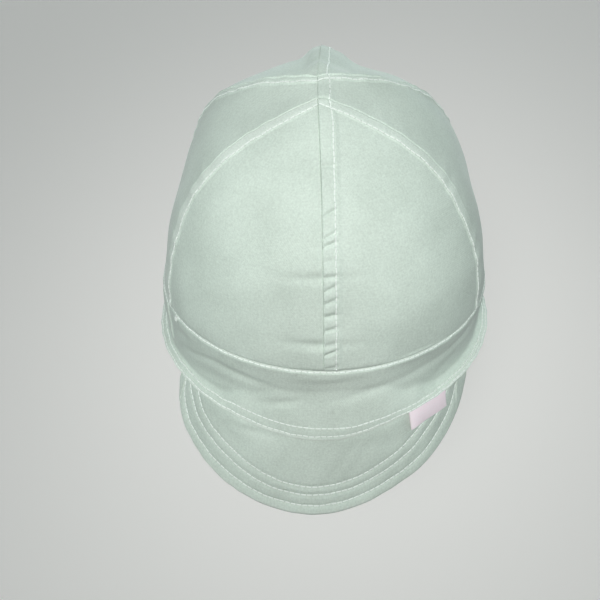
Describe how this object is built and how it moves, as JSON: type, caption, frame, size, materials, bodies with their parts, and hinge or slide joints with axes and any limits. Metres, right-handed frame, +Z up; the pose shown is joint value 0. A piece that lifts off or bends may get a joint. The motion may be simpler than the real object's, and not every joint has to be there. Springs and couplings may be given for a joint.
{
  "type": "welding cap",
  "caption": "Soft cotton welder's cap: panelled dome crown with felled seams, a plain band, a short stitched brim hanging on one side and a bare ribbon tab.",
  "frame": {"origin": "middle of the head opening, level with the band's lower edge on the far side", "axes": "+Z up through the crown, -Y towards the hanging brim, +X to the right seen from the brim side"},
  "size_m": [0.1704, 0.2068, 0.1934],
  "materials": {
    "crown_cotton": "pale sage cotton twill with white topstitching",
    "band_cotton": "pale sage cotton twill with white edge stitching",
    "brim_cotton": "pale sage cotton twill, doubled, with white stitch rows",
    "label_ribbon": "bare white satin ribbon",
    "stitch_thread": "white twisted sewing thread of the topstitching"
  },
  "bodies": {
    "root": {"crown_panel_back_left": "crown_cotton", "crown_panel_side_left": "crown_cotton", "crown_panel_front_left": "crown_cotton", "crown_panel_front_right": "crown_cotton", "crown_panel_side_right": "crown_cotton", "crown_panel_back_right": "crown_cotton", "band": "band_cotton", "brim": "brim_cotton", "label": "label_ribbon"}
  },
  "joints": []
}
